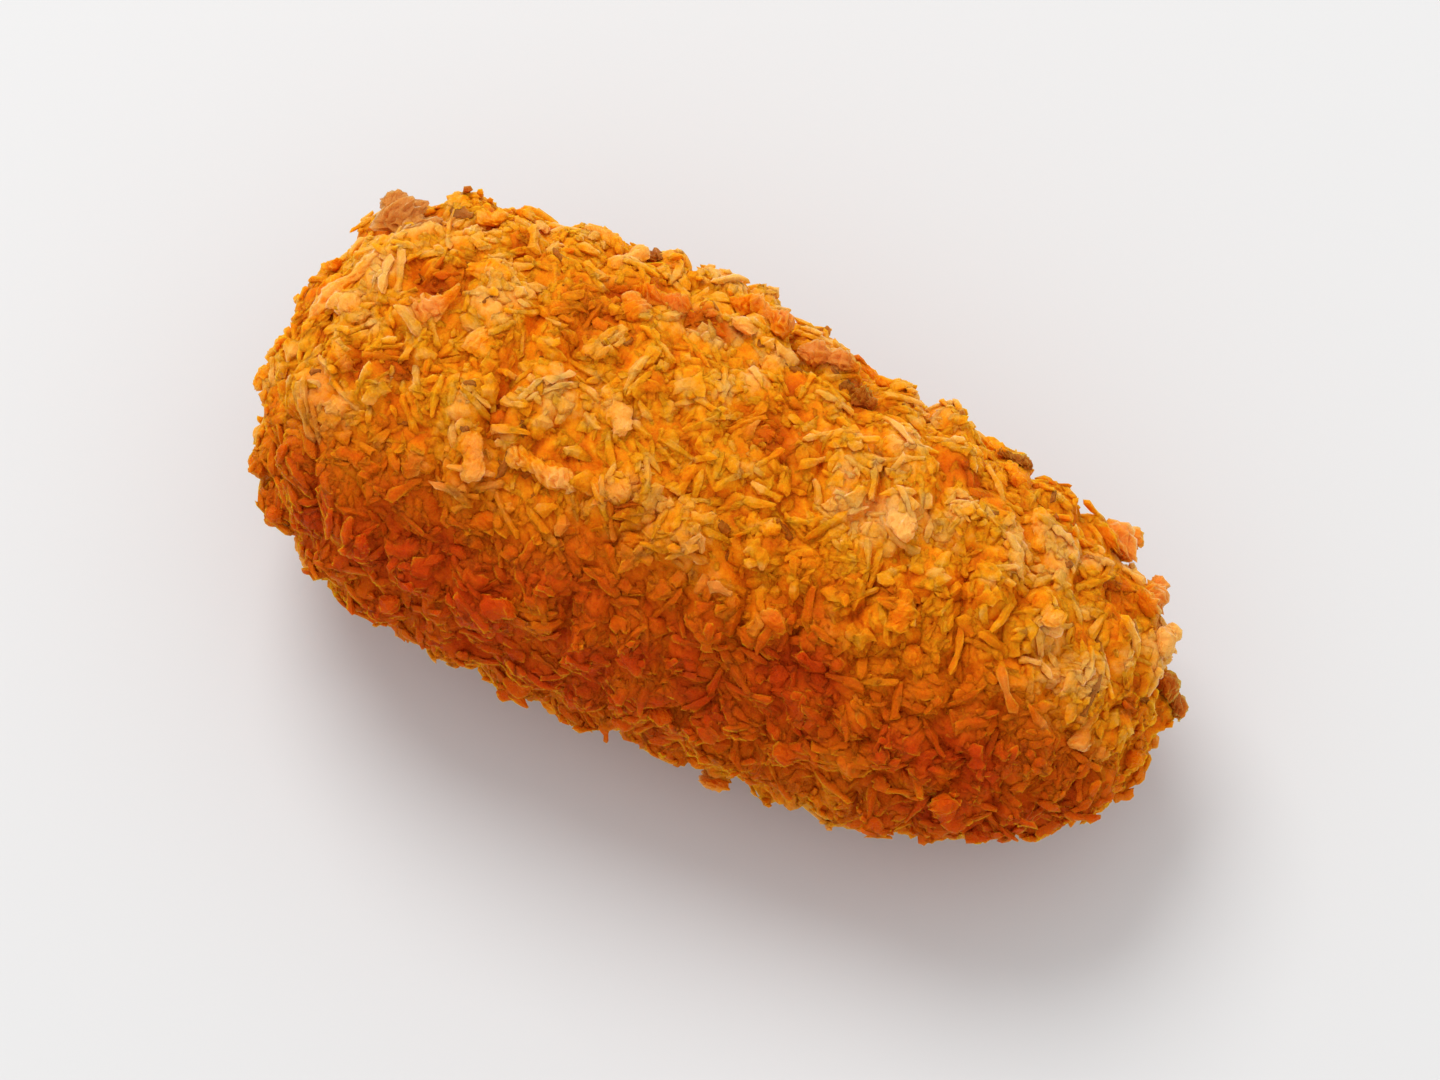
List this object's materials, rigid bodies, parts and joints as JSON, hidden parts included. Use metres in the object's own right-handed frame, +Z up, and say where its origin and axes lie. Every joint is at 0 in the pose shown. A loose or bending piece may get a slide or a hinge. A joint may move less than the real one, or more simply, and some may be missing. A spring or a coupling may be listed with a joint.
{
  "type": "jalapeno popper",
  "caption": "Whole breaded and fried stuffed pepper: a plump bowed roll, blunt at one end and round at the other, closed all over by a rough golden crumb crust.",
  "frame": {"origin": "middle of the small flat spot that the popper rests on", "axes": "+X along the popper to its blunt end, +Z up, out of the side shown in the picture"},
  "size_m": [0.0677, 0.0335, 0.0304],
  "materials": {
    "fried_crumb": "satin"
  },
  "bodies": {
    "root": {"popper": "fried_crumb"}
  },
  "joints": []
}
